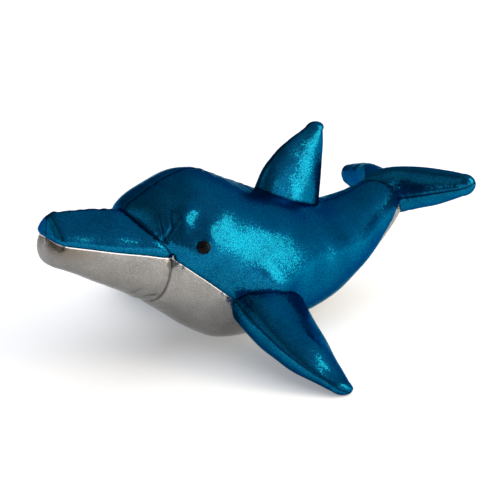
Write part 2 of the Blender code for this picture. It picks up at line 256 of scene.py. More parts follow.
def rolled(points):
    """Roll what lies towards the tail about its length."""
    share = np.clip((points[..., 0] - ROLL_START) / (ROLL_END - ROLL_START), 0, 1)
    turn = -ROLL * share**2 * (3 - 2 * share)
    y = points[..., 1]
    z = points[..., 2] - ROLL_HEIGHT
    out = points.copy()
    out[..., 1] = y * np.cos(turn) - z * np.sin(turn)
    out[..., 2] = y * np.sin(turn) + z * np.cos(turn) + ROLL_HEIGHT
    return out


def round_corner(rows, first, last, passes):
    """Average rows with their neighbours along the body, between two rows that stay."""
    out = rows.copy()
    for _ in range(passes):
        before = out[first - 1 : last - 1]
        behind = out[first + 1 : last + 1]
        out[first:last] = (before + 2 * out[first:last] + behind) / 4
    return out


def above_floor(rows, clearance):
    """The same rows, with no point lower than this."""
    out = rows.copy()
    out[..., 2] = np.maximum(out[..., 2], clearance)
    return out


net = softened(net, np.interp(np.arange(len(net)), SOFTEN_ROWS, SOFTEN_PASSES).round())
net = round_corner(net, *CORNER_ROWS, CORNER_PASSES)
net = above_floor(rolled(net), BELLY_CLEARANCE)
print("ridge of the body reaches", round(float(net[..., 2].max()) * 1000, 1), "mm")

# %% [markdown]
# ## Which way is out
#
# Pulling a seam in or letting stuffing push a panel out both move a point along the direction in
# which the cloth faces. That direction comes from the net itself: the cross product of the way
# to the next row and the way to the next column.

# %% Work out the outward directions
def outward(rows):
    """The direction in which each point of a net of closed loops faces."""
    along = np.gradient(rows, axis=0)
    around = np.roll(rows, -1, axis=1) - np.roll(rows, 1, axis=1)
    facing = unit(np.cross(along, around))
    middle = rows.mean(axis=1, keepdims=True)
    part = slice(len(rows) // 4, 3 * len(rows) // 4)
    return facing if (facing * (rows - middle))[part].sum() > 0 else -facing


def steps_along(rows, axis):
    """Distance from the first row or column, measured on the net."""
    step = np.linalg.norm(np.diff(rows, axis=axis), axis=-1)
    start = np.zeros_like(np.take(step, [0], axis=axis))
    return np.concatenate([start, np.cumsum(step, axis=axis)], axis=axis)


def round_loops(rows):
    """Distance round each closed loop from its first point, and the length of each loop."""
    around = steps_along(np.concatenate([rows, rows[:, :1]], axis=1), 1)
    return around[:, :-1], around[:, -1:]


def body_outward(rows):
    """As outward, with the point of the nose facing straight ahead."""
    facing = outward(rows)
    facing[0] = (-1, 0, 0)
    return facing


facing = body_outward(net)
along_body = steps_along(net, 0)
around_body, girth_length = round_loops(net)


def gap_to_column(column):
    """Distance round the loop to a column, the shorter way."""
    gap = np.abs(around_body - around_body[:, column : column + 1])
    return np.minimum(gap, girth_length - gap)


ridge_gap = gap_to_column(0)
belly_gap = np.minimum(gap_to_column(LEFT_SEAM), gap_to_column(RIGHT_SEAM))
face_gap = np.abs(along_body - along_body[FACE_ROW])
print("longest way round:", round(float(girth_length.max()) * 1000), "mm")

# %% [markdown]
# ## Seams
#
# Two panels are sewn face to face and turned, so each bends inwards at the seam and the seam
# lies at the bottom of a valley. The thread is pulled tighter than the cloth, which gathers it
# into short ripples that run across the seam and fade a finger's width away. Real gathers aren't
# even, so the ripples come from waves of several lengths under a slow swell. Under the chin, where
# the face seam crosses the keel, they are deepest.

# %% Pull the seams in and gather the cloth
HALF_FACE = 0.05
FACE_DEPTH_AT = (0, 0.25, 1)
FACE_DEPTHS = (0.0011, 0.0013, 0.0012)
RIDGE_DEPTHS = (0.0005, 0.0009)
RIDGE_WIDTHS = (0.004, 0.005)
BELLY_WIDTHS = (0.015, 0.006)
CHIN_HEIGHT = 0.0024
CHIN_REACH = 0.030
WAVES = 9


def valley(gap, depth, width):
    return -depth * np.maximum(1 - gap / width, 0) ** 2


def uneven(places, phase, fine=0.0085):
    """Waves of several lengths, about from -1 to 1, along places in metres."""
    turns = math.tau * places / fine
    waves = np.sin(turns + phase) + 0.7 * np.sin(turns * 1.47 + 2.1 * phase)
    waves += 0.6 * np.sin(turns * 0.61 + 3.3 * phase)
    swell = 0.55 + 0.45 * np.sin(turns * 0.137 + 1.7 * phase) * np.sin(turns * 0.089 + phase)
    return waves * swell / 1.6


def gathers(gap, places, height, reach, phase, fine=0.0085):
    return height * np.exp(-gap / reach) * uneven(places, phase, fine)


def stuffing_lumps(points, height, length, seed):
    """Soft unevenness of the stuffing, as a sum of waves in random directions."""
    draw = np.random.default_rng(seed)
    total = np.zeros(points.shape[:-1])
    for _ in range(WAVES):
        direction = unit(draw.normal(size=3))
        wave = math.tau / (length * draw.uniform(0.7, 1.5))
        total += np.sin(points @ direction * wave + draw.uniform(0, math.tau))
    return total * height / math.sqrt(WAVES)


face_depth = np.interp(np.abs(net[..., 1]) / HALF_FACE, FACE_DEPTH_AT, FACE_DEPTHS)
on_beak = along_body < along_body[FACE_ROW]
column = np.arange(net.shape[1])
is_silver = (column > LEFT_SEAM) & (column < RIGHT_SEAM)
push = valley(ridge_gap, np.where(on_beak, *RIDGE_DEPTHS), np.where(on_beak, *RIDGE_WIDTHS))
push += valley(belly_gap, depth=0.0021, width=np.where(is_silver, *BELLY_WIDTHS))
push += valley(face_gap, depth=face_depth, width=0.010)
push += gathers(ridge_gap, along_body, height=0.0008, reach=0.009, phase=0.4, fine=0.013)
push += gathers(belly_gap, along_body, height=0.0003, reach=0.007, phase=1.9)
push += gathers(face_gap, around_body, height=0.0004, reach=0.008, phase=2.6)
chin = np.exp(-gap_to_column(KEEL) / CHIN_REACH) * np.exp(-face_gap / CHIN_REACH) * is_silver
push += CHIN_HEIGHT * chin * uneven(along_body, phase=0.9, fine=0.015)
push += stuffing_lumps(net, height=0.0005, length=0.045, seed=5)
print("deepest point of a seam:", round(float(push.min()) * 1000, 1), "mm")

# %% [markdown]
# ## Where the stuffing stands out
#
# Handfuls of fill never pack evenly. On the flank of this toy they leave a broad swelling under
# the highlight with hollows round it, and a small one near the tip of each pectoral fin. A mirror
# shows a hollow of two millimetres clearly, so these places decide the outline of the highlight.
# Each is a soft round hill or hollow, written as three numbers for its place and one for its
# height. A broad set shapes the body, a narrower one the low edge of the highlight, and the
# narrowest the small bright spot on the cheek. The first two are the same on both sides, and the
# cheek's are on the left side only.

# %% Push the swellings out
BODY_LUMPS = (
    (0.0078, 0.0790, 0.0812, 0.0030),
    (-0.0747, 0.0653, 0.1157, 0.0026),
    (-0.0129, 0.0747, 0.1047, -0.0024),
    (-0.0153, 0.0780, 0.0863, 0.0024),
    (0.0654, 0.0693, 0.0858, -0.0020),
    (0.0329, 0.0469, 0.1275, 0.0020),
    (-0.0717, 0.0613, 0.1332, 0.0019),
    (0.0452, 0.0626, 0.1089, -0.0018),
    (0.0975, 0.0625, 0.0766, -0.0010),
    (-0.0311, 0.0678, 0.1264, -0.0016),
    (0.0115, 0.0741, 0.0991, -0.0013),
    (-0.0337, 0.0712, 0.0684, 0.0010),
    (0.0189, 0.0646, 0.1150, 0.0009),
    (0.0650, 0.0705, 0.0653, -0.0008),
    (-0.0077, 0.0805, 0.0752, 0.0020),
    (0.1090, 0.0485, 0.0957, 0.0009),
    (0.0396, 0.0762, 0.0812, -0.0014),
    (0.1447, 0.0352, 0.1041, 0.0008),
    (-0.0445, 0.0733, 0.0995, -0.0008),
    (-0.0266, 0.0774, 0.0787, 0.0011),
    (-0.0067, 0.0791, 0.0926, -0.0010),
    (0.0163, 0.0492, 0.1335, -0.0009),
    (0.1335, 0.0484, 0.0905, 0.0008),
)
FLANK_LUMPS = (
    (-0.0169, 0.0801, 0.0732, 0.0014),
    (-0.0058, 0.0812, 0.0709, 0.0017),
    (0.0044, 0.0805, 0.0682, 0.0025),
    (-0.0258, 0.0794, 0.0831, -0.0019),
    (0.0167, 0.0801, 0.0835, -0.0004),
    (0.0035, 0.0814, 0.0870, -0.0019),
    (-0.0251, 0.0784, 0.0746, 0.0025),
)
CHEEK_LUMPS = (
    (-0.0885, 0.0515, 0.1425, 0.0014),
    (-0.0760, 0.0560, 0.1455, -0.0008),
    (-0.0887, 0.0449, 0.1495, 0.0022),
    (-0.0905, 0.0475, 0.1467, 0.0015),
    (-0.0813, 0.0438, 0.1534, 0.0022),
    (-0.0709, 0.0665, 0.1287, 0.0014),
    (-0.0780, 0.0454, 0.1532, 0.0012),
)
PECTORAL_LUMPS = (
    (0.0030, 0.1421, 0.0306, 0.0012),
    (-0.0166, 0.1454, 0.0371, 0.0030),
    (-0.0214, 0.1714, 0.0203, -0.0030),
    (-0.0302, 0.1624, 0.0194, 0.0015),
    (-0.0267, 0.1578, 0.0305, -0.0015),
    (-0.0124, 0.1605, 0.0275, 0.0014),
)


def on_the_right(points):
    """The points with those on the left side mirrored to the right."""
    return np.stack([points[..., 0], np.abs(points[..., 1]), points[..., 2]], axis=-1)


def lumps(points, hills, width):
    """The height that a set of round hills gives to each point, with the side ignored."""
    total = np.zeros(points.shape[:-1])
    for *place, height in hills:
        gap = np.linalg.norm(on_the_right(points) - np.array(place), axis=-1)
        total += height * np.exp(-((gap / width) ** 2) / 2)
    return total


push += lumps(net, BODY_LUMPS, width=0.013) + lumps(net, FLANK_LUMPS, width=0.010)
push += lumps(net, CHEEK_LUMPS, width=0.005) * (net[..., 1] < 0)
print("swellings on both sides:", len(BODY_LUMPS) + len(FLANK_LUMPS))
print("swellings on the left cheek:", len(CHEEK_LUMPS))

# %% [markdown]
# ## Folds
#
# Behind the face seam the cloth is folded into three short darts, which give the forehead its
# sudden rise. A fourth fold starts from the corner of the mouth and two lie under the beak. A
# fold is a line on the cloth with a groove along it and a soft lip on both sides, deepest where
# the seam holds it and gone at its far end. Both sides of the toy have the same folds, so the
# distance is measured with the side ignored.

# %% Press the folds in
Fold = namedtuple("Fold", "line depth width")

LIP = 0.8
FADE_POWER = 0.7
FADE_GAP = 0.0014
FOLD_SHADE = 0.7
FAR = 1.0
FOLDS = (
    Fold(((-0.1079, 0.0453, 0.1319), (-0.1070, 0.0418, 0.1409), (-0.1045, 0.0321, 0.1525)),
         depth=0.0018, width=0.0024),
    Fold(((-0.1060, 0.0475, 0.1300), (-0.0991, 0.0461, 0.1433), (-0.0936, 0.0372, 0.1546)),
         depth=0.0018, width=0.0024),
    Fold(((-0.1079, 0.0453, 0.1319), (-0.0993, 0.0475, 0.1409), (-0.0880, 0.0454, 0.1498)),
         depth=0.0018, width=0.0024),
    Fold(((-0.1018, 0.0503, 0.1153), (-0.1050, 0.0490, 0.1085), (-0.1095, 0.0455, 0.1010)),
         depth=0.0016, width=0.0034),
    Fold(((-0.1240, 0.0310, 0.0860), (-0.1300, 0.0260, 0.0800), (-0.1400, 0.0190, 0.0760)),
         depth=0.0012, width=0.0050),
    Fold(((-0.1120, 0.0330, 0.0740), (-0.1230, 0.0240, 0.0710), (-0.1350, 0.0150, 0.0700)),
         depth=0.0012, width=0.0045),
)


def fold_push(points, fold):
    """The push of a fold, and the distance from its line."""
    points = on_the_right(points)
    line = np.array(fold.line)
    nearest = np.full(points.shape[:-1], FAR)
    share = np.zeros(points.shape[:-1])
    for i in range(len(line) - 1):
        way = line[i + 1] - line[i]
        t = np.clip(((points - line[i]) @ way) / (way @ way), 0, 1)
        gap = np.linalg.norm(points - (line[i] + t[..., None] * way), axis=-1)
        closer = gap < nearest
        nearest = np.where(closer, gap, nearest)
        share = np.where(closer, (i + t) / (len(line) - 1), share)
    across = (nearest / fold.width) ** 2
    fade = np.cos(share * math.pi / 2) ** FADE_POWER
    groove = -fold.depth * (1 - LIP * across) * np.exp(-across) * fade
    return groove, nearest + FADE_GAP * (1 - fade)


# Distance from the fold lines, widened; the cloth is painted darker along it as shade.
fold_gap = np.full(net.shape[:2], FAR)
for fold in FOLDS:
    change, gap = fold_push(net, fold)
    push += change
    fold_gap = np.minimum(fold_gap, FOLD_SHADE * gap)
net = above_floor(net + facing * push[..., None], BELLY_CLEARANCE)
print("folds on each side:", len(FOLDS))

# %% [markdown]
# ## The slices of the fins
#
# A fin is two pieces of cloth sewn round their edge and filled. Its flat pattern gives the
# edge seams, and its depth on both sides of the pattern gives the fullness. The three kinds of
# fin differ only in their numbers and in where their axes point.

# %% Write down the fins
FinSlice = namedtuple("FinSlice", "lead trail over under")
FinPlace = namedtuple("FinPlace", "origin chord up span")

DORSAL = (
    FinSlice(lead=(0.028, 0.127), trail=(0.106, 0.100), over=0.017, under=0.017),
    FinSlice(lead=(0.039, 0.157), trail=(0.111, 0.140), over=0.0145, under=0.0145),
    FinSlice(lead=(0.065, 0.181), trail=(0.113, 0.171), over=0.010, under=0.010),
    FinSlice(lead=(0.093, 0.195), trail=(0.113, 0.190), over=0.0055, under=0.0055),
)
DORSAL_TIP = (0.109, 0.199)
PECTORAL = (
    FinSlice(lead=(-0.046, -0.012), trail=(0.040, -0.012), over=0.022, under=0.027),
    FinSlice(lead=(-0.050, 0.030), trail=(0.033, 0.035), over=0.019, under=0.028),
    FinSlice(lead=(-0.038, 0.085), trail=(0.021, 0.085), over=0.012, under=0.019),
    FinSlice(lead=(-0.014, 0.122), trail=(0.012, 0.122), over=0.006, under=0.009),
)
PECTORAL_TIP = (0.002, 0.132)
PECTORAL_ROOT = np.array((0.002, 0.062, 0.048))
PECTORAL_END = np.array((-0.008, 0.187, 0.005))
PECTORAL_NOSE_UP = math.radians(22)
FLUKE = (
    FinSlice(lead=(-0.032, 0.000), trail=(0.027, 0.000), over=0.031, under=0.023),
    FinSlice(lead=(-0.005, 0.024), trail=(0.033, 0.026), over=0.028, under=0.022),
    FinSlice(lead=(0.010, 0.055), trail=(0.044, 0.058), over=0.020, under=0.020),
    FinSlice(lead=(0.024, 0.087), trail=(0.046, 0.089), over=0.012, under=0.012),
)
FLUKE_TIP = (0.038, 0.101)
FLUKE_MIDDLE = (0.200, 0.103)
FLUKE_PITCH = math.radians(20)

span = unit(PECTORAL_END - PECTORAL_ROOT)
chord = np.array((math.cos(PECTORAL_NOSE_UP), 0.0, -math.sin(PECTORAL_NOSE_UP)))
chord = unit(chord - span * (chord @ span))
PECTORAL_PLACE = FinPlace(PECTORAL_ROOT, chord, np.cross(chord, span), span)
DORSAL_PLACE = FinPlace((0, 0, 0), chord=(1, 0, 0), up=(0, -1, 0), span=(0, 0, 1))
FLUKE_PLACE = FinPlace(
    (FLUKE_MIDDLE[0], 0, FLUKE_MIDDLE[1]),
    chord=(math.cos(FLUKE_PITCH), 0, math.sin(FLUKE_PITCH)),
    up=(-math.sin(FLUKE_PITCH), 0, math.cos(FLUKE_PITCH)),
    span=(0, 1, 0),
)
fin_length = float(np.linalg.norm(PECTORAL_END - PECTORAL_ROOT))
print("pectoral fin is", round(fin_length * 1000), "mm long")

# %% [markdown]
# ## Lay a net over a fin
#
# A fin's net has the same rows and loops as the body's. The first column lies on the leading
# seam and the middle one on the trailing seam. Towards the tip the loops shrink along a quarter
# circle, which closes the fin with a round end and no corner.

# %% Lay the nets of the fins
FIN_COLUMNS = 44
FIN_SPAN_ROWS = 16
TIP_ROWS = 14


def fin_loop(values):
    """One closed loop of points from the six numbers of a fin's slice."""
    lead_chord, lead_span, trail_chord, trail_span, over, under = values
    turns = math.pi * np.arange(2 * FIN_COLUMNS) / FIN_COLUMNS
    across = (1 - np.cos(turns)) / 2
    return np.stack([
        lead_chord + (trail_chord - lead_chord) * across,
        np.where(turns < math.pi, over, under) * np.sin(turns),
        lead_span + (trail_span - lead_span) * across,
    ], axis=1)


def fin_net(slices, tip, place, two_sided=False):
    """The net of a fin in its place. A two-sided one has a second, mirrored half."""
    flat = [(*s.lead, *s.trail, s.over, s.under) for s in slices]
    places = np.linspace(0, len(slices) - 1, (len(slices) - 1) * FIN_SPAN_ROWS + 1)
    rows = [fin_loop(v) for v in smooth_through(flat, places)]
    end = np.array((tip[0], 0.0, tip[1]))
    middle = rows[-1].mean(axis=0)
    last = rows[-1]
    for turn in np.linspace(0, math.pi / 2, TIP_ROWS + 1)[1:]:
        centre = middle + (end - middle) * math.sin(turn)
        rows.append(centre + (last - middle) * math.cos(turn))
    rows = np.array(rows)
    if two_sided:
        other = rows * (1, 1, -1)
        rows = np.concatenate([other[:0:-1], rows])
    axes = np.array((place.chord, place.up, place.span), float)
    return np.array(place.origin, float) + rows @ axes


nets = {
    "dorsal_fin": fin_net(DORSAL, DORSAL_TIP, DORSAL_PLACE),
    "pectoral_right": fin_net(PECTORAL, PECTORAL_TIP, PECTORAL_PLACE),
    "fluke": rolled(fin_net(FLUKE, FLUKE_TIP, FLUKE_PLACE, two_sided=True)),
}
nets["pectoral_left"] = nets["pectoral_right"] * (1, -1, 1)
for name, rows in nets.items():
    print(name, "net:", rows.shape[0], "rows of", rows.shape[1])

# %% [markdown]
# ## Sew the fins on
#
# A fin is filled and closed first and then sewn to the body by hand. The thread draws the root of
# the fluke together, and it spreads the roots of the dorsal and the pectoral fins a little on the
# body. Small gathers run out from each root. To know how close each point is, a tree of the
# body's faces is asked for the nearest place on the body and for the way out of it. The body's
# net is open at the tail, so what lies behind that end counts as outside. The dorsal fin's fill
# has slipped towards its trailing edge, which moves its fullest line back.

# %% Find the distance to the body
BODY_END = 0.192


def tree_of(rows):
    """A search tree over a net of closed loops."""
    count, around = rows.shape[:2]
    points = [Vector(p) for p in rows.reshape(-1, 3)]
    faces = []
    for start in range(0, (count - 1) * around, around):
        for first in range(around):
            second = (first + 1) % around
            above = start + around
            faces.append((start + first, start + second, above + second, above + first))
    return BVHTree.FromPolygons(points, faces)


body_tree = tree_of(net)
above_head = Vector((-0.05, 0.0, 0.30))
spot, normal, _, _ = body_tree.find_nearest(above_head)
BODY_OUTSIDE = 1 if (above_head - spot).dot(normal) > 0 else -1


def over_body(point):
    """Distance of a point from the body's surface, below zero inside the body."""
    spot, normal, _, gap = body_tree.find_nearest(point)
    inner = (point - spot).dot(normal) * BODY_OUTSIDE <= 0
    return -gap if inner and point.x <= BODY_END else gap


print("body tree faces", "out" if BODY_OUTSIDE > 0 else "in")

# %% Shape the roots and gather them
FinRoot = namedtuple("FinRoot", "cinch reach gather")

FIN_ROOTS = {
    "dorsal_fin": FinRoot(cinch=-0.0006, reach=0.006, gather=0.0004),
    "pectoral_left": FinRoot(cinch=-0.0018, reach=0.009, gather=0.0004),
    "pectoral_right": FinRoot(cinch=-0.0018, reach=0.009, gather=0.0004),
    "fluke": FinRoot(cinch=0.0006, reach=0.006, gather=0.0010),
}
ROOT_FADE = 0.6
FULL_GIRTH = 0.06
HILLS_FROM_SEAM = 0.014
FIN_CLEARANCE = 0.0003
DORSAL_FILL = 1.22
LEAST_CHORD = 0.001
BACKWARD_AT = (0.130, 0.165, 0.190)
BACKWARD = (0.03, 0.10, 0.40)


def filled_at_the_back(rows):
    """The dorsal fin with its fill moved towards the trailing edge, most of all near the tip."""
    lead = np.interp(rows[..., 2], [s.lead[1] for s in DORSAL], [s.lead[0] for s in DORSAL])
    trail = np.interp(rows[..., 2], [s.trail[1] for s in DORSAL], [s.trail[0] for s in DORSAL])
    share = np.clip((rows[..., 0] - lead) / np.maximum(trail - lead, LEAST_CHORD), 0, 1)
    backward = np.interp(rows[..., 2], BACKWARD_AT, BACKWARD)
    out = rows.copy()
    out[..., 1] *= DORSAL_FILL - backward * np.cos(math.pi * share)
    return out


def gap_to_edge(around, length):
    """Distance round a fin's loop to its leading or its trailing seam."""
    lead = np.minimum(around, length - around)
    trail = np.abs(around - around[:, FIN_COLUMNS, None])
    return np.minimum(lead, trail)


def sewn(name, rows, root, phase):
    """A fin's net with its seams pulled in, and its height over the body."""
    around, length = round_loops(rows)
    edge = gap_to_edge(around, length)
    height = np.array([over_body(Vector(point)) for point in rows.reshape(-1, 3)]).reshape(edge.shape)
    near = np.exp(-np.maximum(height, 0) / root.reach)
    size = np.minimum(1, length / FULL_GIRTH)
    push = valley(edge, depth=0.0004, width=0.0024) * size
    push += gathers(edge, steps_along(rows, 0), height=0.0003, reach=0.006, phase=phase) * size
    push -= root.cinch * near
    push += root.gather * near**ROOT_FADE * uneven(around, phase + 1.1, fine=0.0075)
    push += stuffing_lumps(rows, height=0.0003, length=0.03, seed=int(phase * 10)) * size
    if name.startswith("pectoral"):
        push += lumps(rows, PECTORAL_LUMPS, width=0.010) * np.clip(edge / HILLS_FROM_SEAM, 0, 1)
    return above_floor(rows + outward(rows) * push[..., None], FIN_CLEARANCE), height


heights = {}
nets["dorsal_fin"] = filled_at_the_back(nets["dorsal_fin"])
for turn, (name, root) in enumerate(FIN_ROOTS.items()):
    nets[name], heights[name] = sewn(name, nets[name], root, phase=0.7 + 0.9 * turn)
    print(name, "stands", round(float(heights[name].max()) * 1000), "mm off the body")

# %% [markdown]
# ## The cloth gives at the eyes
#
# The washer inside the head pulls the cloth in under each eye. That leaves a shallow dent, which
# fades within a few millimetres.

# %% Dent the head under the eyes
EYE_DENT = 0.0010
EYE_DENT_REACH = 0.009

dent = np.zeros(net.shape[:2])
eye_middles = {}
for side in ("left", "right"):
    low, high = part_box(f"eye_{side}")
    eye_middles[side] = (low + high) / 2
    gap = np.linalg.norm(net - np.array(eye_middles[side]), axis=-1)
    dent = np.maximum(dent, EYE_DENT * np.exp(-((gap / EYE_DENT_REACH) ** 2)))
net = above_floor(net - facing * dent[..., None], BELLY_CLEARANCE)
print("deepest dent:", round(float(dent.max()) * 1000, 2), "mm")

# %% [markdown]
# ## From a net to cloth
#
# Blender's grid is the natural start for a piece of cloth: the grid is made with as many cells as
# the net, and each of its points is moved to its place on the net. The grid also keeps a UV map,
# which is filled with real lengths along the cloth and so holds the flat size of each panel. How
# far each point is from the nearest seam or fold is kept as well, for the painted shade in the
# valley, and how far it is from the edge where silver meets blue, for the painted highlight along
# that edge and the painted brown reflection near the tip of the beak.

# %% Make a piece of cloth
SAME_SPOT = 2e-6


def cloth(points, away, seam_gap, edge_gap, columns, rows=None):
    """A cloth mesh on part of a net of closed loops."""
    take = np.arange(columns[0], columns[1] + 1) % points.shape[1]
    span = slice(rows[0], rows[1] + 1) if rows else slice(None)
    spots = points[span][:, take]
    ways = away[span][:, take]
    gaps = seam_gap[span][:, take].reshape(-1)
    edges = edge_gap[span][:, take].reshape(-1)
    across = steps_along(spots, 1)
    across = (across - across[:, -1:] / 2).reshape(-1)
    along = steps_along(spots, 0).mean(axis=1, keepdims=True)
    along = np.broadcast_to(along, spots.shape[:2]).reshape(-1)
    count, wide = spots.shape[:2]
    bm = bmesh.new()
    bmesh.ops.create_grid(bm, x_segments=wide - 1, y_segments=count - 1, size=1.0)
    length_map = bm.loops.layers.uv.new("cloth_lengths")
    gap_layer = bm.verts.layers.float.new("seam_gap")
    edge_layer = bm.verts.layers.float.new("edge_gap")
    spot_layer = bm.verts.layers.int.new("spot")
    for vert in bm.verts:
        column = round((vert.co.x + 1) / 2 * (wide - 1))
        vert[spot_layer] = round((vert.co.y + 1) / 2 * (count - 1)) * wide + column
    flat = spots.reshape(-1, 3)
    for vert in bm.verts:
        spot = vert[spot_layer]
        vert.co = flat[spot]
        vert[gap_layer] = gaps[spot]
        vert[edge_layer] = edges[spot]
    for face in bm.faces:
        face.smooth = True
        for loop in face.loops:
            spot = loop.vert[spot_layer]
            loop[length_map].uv = (across[spot], along[spot])
    bm.normal_update()
    bm.faces.ensure_lookup_table()
    middle = bm.faces[len(bm.faces) // 2]
    if middle.normal.dot(Vector(ways.reshape(-1, 3)[middle.verts[0][spot_layer]])) < 0:
        bmesh.ops.reverse_faces(bm, faces=bm.faces[:])
    bmesh.ops.remove_doubles(bm, verts=bm.verts[:], dist=SAME_SPOT)
    return bm


def piece(name, bm, material, stands_for):
    """Turn a bmesh into a piece of the toy that stands for a node of the frame."""
    mesh = bpy.data.meshes.new(name)
    bm.to_mesh(mesh)
    bm.free()
    mesh.materials.append(material)
    obj = bpy.data.objects.new(name, mesh)
    bpy.context.scene.collection.objects.link(obj)
    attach(obj, "root")
    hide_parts(stands_for)
    print(f"{name}: {len(mesh.polygons)} faces")
    return obj


# %% [markdown]
# ## Short names for shader work
#
# A material is a small tree of nodes. The same step comes back in every one: a node is made, values
# or other nodes are fed into it, and its output goes on.

# %% Write the shader helpers
def new_material(name):
    """A material with its tree and its shader."""
    made = bpy.data.materials.new(name)
    made.use_nodes = True
    return made, made.node_tree, made.node_tree.nodes["Principled BSDF"]


def feed(tree, value, socket):
    """Link another node's output to a socket, or write a number, a vector or a colour in."""
    if isinstance(value, bpy.types.NodeSocket):
        tree.links.new(value, socket)
    elif isinstance(value, (int, float)) or len(value) == len(socket.default_value):
        socket.default_value = value
    else:
        socket.default_value = (*value, 1.0)


def node(tree, kind, inputs=None, **settings):
    """A node with its settings, and with values for some of its inputs by name."""
    made = tree.nodes.new(kind)
    for key, value in settings.items():
        setattr(made, key, value)
    for key, value in (inputs or {}).items():
        feed(tree, value, made.inputs[key])
    return made


def object_place(tree):
    return node(tree, "ShaderNodeTexCoord").outputs["Object"]


def noise(tree, scale, detail=2.0):
    inputs = {"Vector": object_place(tree), "Scale": scale, "Detail": detail}
    return node(tree, "ShaderNodeTexNoise", inputs).outputs["Fac"]


def cell_colours(tree, scale):
    inputs = {"Vector": object_place(tree), "Scale": scale}
    return node(tree, "ShaderNodeTexVoronoi", inputs, feature="F1").outputs["Color"]


def attribute(tree, name):
    return node(tree, "ShaderNodeAttribute", attribute_name=name).outputs["Fac"]


def math_node(tree, operation, first, second):
    return node(tree, "ShaderNodeMath", {0: first, 1: second}, operation=operation).outputs[0]


def vector_node(tree, operation, inputs):
    return node(tree, "ShaderNodeVectorMath", inputs, operation=operation)


def mix_colour(tree, factor, first, second):
    inputs = {0: factor, 6: first, 7: second}
    return node(tree, "ShaderNodeMix", inputs, data_type="RGBA").outputs[2]


def ranged(tree, value, low, high, to_low=0.0, to_high=1.0):
    """A value moved from one range to another. The first range may run downwards."""
    inputs = {"Value": value, "From Min": low, "From Max": high, "To Min": to_low, "To Max": to_high}
    return node(tree, "ShaderNodeMapRange", inputs).outputs["Result"]


print("shader helpers ready")

# %% [markdown]
# ## Foil cloth
#
# The cloth is a thin knit with a film of coloured metal that has broken into tiny flakes as the
# knit stretches. Each flake is a little mirror that leans its own way. Where the lamp's image
# falls on the cloth nearly all flakes flash, and round that image only those that lean the
# right way do, so the edge of a highlight looks like sand. One Voronoi pattern cuts the surface
# into cells a millimetre wide, and the random colour of each cell leans its normal. A second one,
# three times as fine, picks what is a bright flake and what is the dark knit between flakes.
# A painted shade darkens the cloth in the seam valleys and along the folds. A painted highlight
# runs along the silver cloth's edge at the blue, and towards the tip of the beak the silver is
# painted darker, with a painted brown reflection near the front.

# %% Make the foil cloth materials
Foil = namedtuple(
    "Foil", "knit flake flake_share knit_rough flake_rough lean shade rim edge rubbed brown"
)
CELL_SCALE = 900.0
FLAKE_SCALE = 2800.0
WEAR_SCALE = 38.0
WORN = (0.35, 0.68)
WORN_SHARE = 0.25
# Seam gaps over which a painted shade comes in, and how much of it.
SEAM_SHADE_GAP = (0.0020, 0.0004)
SEAM_SHADE_SHARE = 0.85
# Gaps from the blue edge over which a painted highlight comes in on the silver cloth.
EDGE_HIGHLIGHT_GAP = (0.0012, 0.0005)
# Towards the tip of the beak the silver is painted darker as a darker reflection, and near the front a
# painted brown reflection is added.
TOWARDS_TIP = (-0.110, -0.200)
AT_FRONT = (-0.158, -0.192)
FRONT_FROM_EDGE = (0.017, 0.003)
TIP_REFLECTION_BROWN = (0.130, 0.100, 0.064)


def foil_colour(tree, foil, bright, wear):
    """The colour: flakes, wear, then painted seam shade, tip reflections and edge highlight."""
    along = node(tree, "ShaderNodeSeparateXYZ", {0: object_place(tree)}).outputs[0]
    edge = attribute(tree, "edge_gap")
    near_edge = ranged(tree, edge, *FRONT_FROM_EDGE)
    layers = (
        (ranged(tree, wear, *WORN), WORN_SHARE, foil.shade),
        # Painted shade in the seam valleys and along the folds.
        (ranged(tree, attribute(tree, "seam_gap"), *SEAM_SHADE_GAP), SEAM_SHADE_SHARE, foil.shade),
        # Painted darker reflection towards the tip of the beak.
        (ranged(tree, along, *TOWARDS_TIP), foil.rubbed, foil.shade),
        # Painted brown reflection at the front of the beak, near the silver edge.
        (math_node(tree, "MULTIPLY", ranged(tree, along, *AT_FRONT), near_edge), foil.brown, TIP_REFLECTION_BROWN),
        # Painted highlight along the silver cloth's edge at the blue.
        (ranged(tree, edge, *EDGE_HIGHLIGHT_GAP), 1.0, foil.edge),
    )
    colour = mix_colour(tree, bright, foil.knit, foil.flake)
    for share, most, layer in layers:
        colour = mix_colour(tree, math_node(tree, "MULTIPLY", share, most), colour, layer)
    return colour


def foil_cloth(name, foil):
    made, tree, shader = new_material(name)
    lean = vector_node(tree, "SUBTRACT", {0: cell_colours(tree, CELL_SCALE), 1: (0.5, 0.5, 0.5)})
    lean = vector_node(tree, "SCALE", {0: lean.outputs[0], "Scale": foil.lean})
    straight = node(tree, "ShaderNodeNewGeometry").outputs["Normal"]
    normal = vector_node(tree, "ADD", {0: straight, 1: lean.outputs[0]})
    normal = vector_node(tree, "NORMALIZE", {0: normal.outputs[0]})
    flakes = node(tree, "ShaderNodeSeparateColor", {0: cell_colours(tree, FLAKE_SCALE)})
    bright = ranged(tree, flakes.outputs[0], 0.85 - foil.flake_share, 1.15 - foil.flake_share)
    wear = noise(tree, WEAR_SCALE, detail=4.0)
    rough = ranged(tree, bright, 0.0, 1.0, foil.knit_rough, foil.flake_rough)
    rough = math_node(tree, "ADD", rough, ranged(tree, wear, 0.3, 0.7, -0.03, 0.05))
    feed(tree, normal.outputs[0], shader.inputs["Normal"])
    feed(tree, foil_colour(tree, foil, bright, wear), shader.inputs["Base Color"])
    feed(tree, rough, shader.inputs["Roughness"])
    feed(tree, 1.0, shader.inputs["Metallic"])
    feed(tree, foil.rim, shader.inputs["Specular Tint"])
    return made
